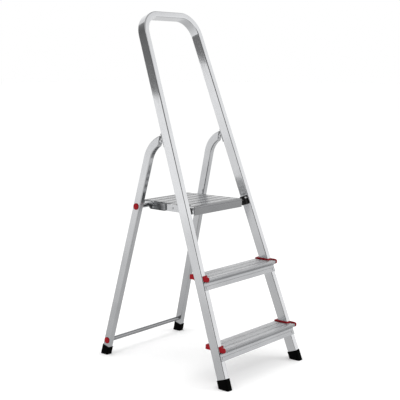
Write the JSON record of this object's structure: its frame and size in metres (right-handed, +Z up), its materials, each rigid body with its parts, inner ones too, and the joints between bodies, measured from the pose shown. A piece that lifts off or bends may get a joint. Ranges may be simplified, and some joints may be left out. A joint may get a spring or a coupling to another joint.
{
  "type": "step ladder",
  "caption": "Folding household step ladder with ribbed aluminium treads, a standing platform, a hooped handrail, hinged rear legs and red plastic end caps.",
  "frame": {"origin": "on the floor, in the middle of the open ladder's footprint", "axes": "+Z up; +Y towards the rear legs; +X to the right of someone facing the treads"},
  "size_m": [0.4634, 0.6564, 1.331],
  "materials": {
    "tube_aluminium": "satin",
    "ribbed_aluminium": "satin",
    "steel": "satin",
    "red_plastic": "satin",
    "black_plastic": "matte",
    "rubber": "matte"
  },
  "bodies": {
    "front_frame": {"front_hoop": "tube_aluminium", "front_shoe_right": "rubber", "front_shoe_left": "rubber", "tread_lower": "ribbed_aluminium", "tread_cap_lower_right": "red_plastic", "tread_cap_lower_left": "red_plastic", "tread_rivet_lower_right": "steel", "tread_rivet_lower_left": "steel", "tread_upper": "ribbed_aluminium", "tread_cap_upper_right": "red_plastic", "tread_cap_upper_left": "red_plastic", "tread_rivet_upper_right": "steel", "tread_rivet_upper_left": "steel", "hinge_bracket_right": "steel", "hinge_bracket_left": "steel", "hinge_pin_right": "steel", "hinge_pin_left": "steel", "bracket_rivet_lower_right": "steel", "bracket_rivet_lower_left": "steel", "bracket_rivet_upper_right": "steel", "bracket_rivet_upper_left": "steel", "pivot_block_right": "black_plastic", "pivot_block_left": "black_plastic", "pivot_pin_right": "steel", "pivot_pin_left": "steel"},
    "rear_frame": {"rear_leg_right": "tube_aluminium", "rear_leg_left": "tube_aluminium", "hinge_plug_right": "steel", "hinge_plug_left": "steel", "rear_shoe_right": "rubber", "rear_shoe_left": "rubber", "cross_rod": "tube_aluminium", "foot_strut": "tube_aluminium", "rod_cap_right": "red_plastic", "rod_cap_left": "red_plastic", "strut_cap_right": "red_plastic", "strut_cap_left": "red_plastic"},
    "platform": {"front_board": "ribbed_aluminium", "middle_board": "ribbed_aluminium", "rear_board": "ribbed_aluminium", "platform_arm_right": "tube_aluminium", "platform_arm_left": "tube_aluminium", "platform_clip_right": "steel", "platform_clip_left": "steel", "arm_rivet_right": "steel", "arm_rivet_left": "steel", "clip_rivet_right": "steel", "clip_rivet_left": "steel"}
  },
  "joints": [
    {"name": "rear_legs_fold", "type": "hinge", "parent": "front_frame", "child": "rear_frame", "pos_m": [0, 0.03638, 0.85404], "axis": [-1, 0, 0], "range_deg": [0, 34]},
    {"name": "platform_lift", "type": "hinge", "parent": "front_frame", "child": "platform", "pos_m": [0, -0.08451, 0.609], "axis": [1, 0, 0], "range_deg": [0, 69.5]}
  ],
  "couplings": [
    {"joint": "platform_lift", "follows": "rear_legs_fold", "ratio": 2.04}
  ]
}
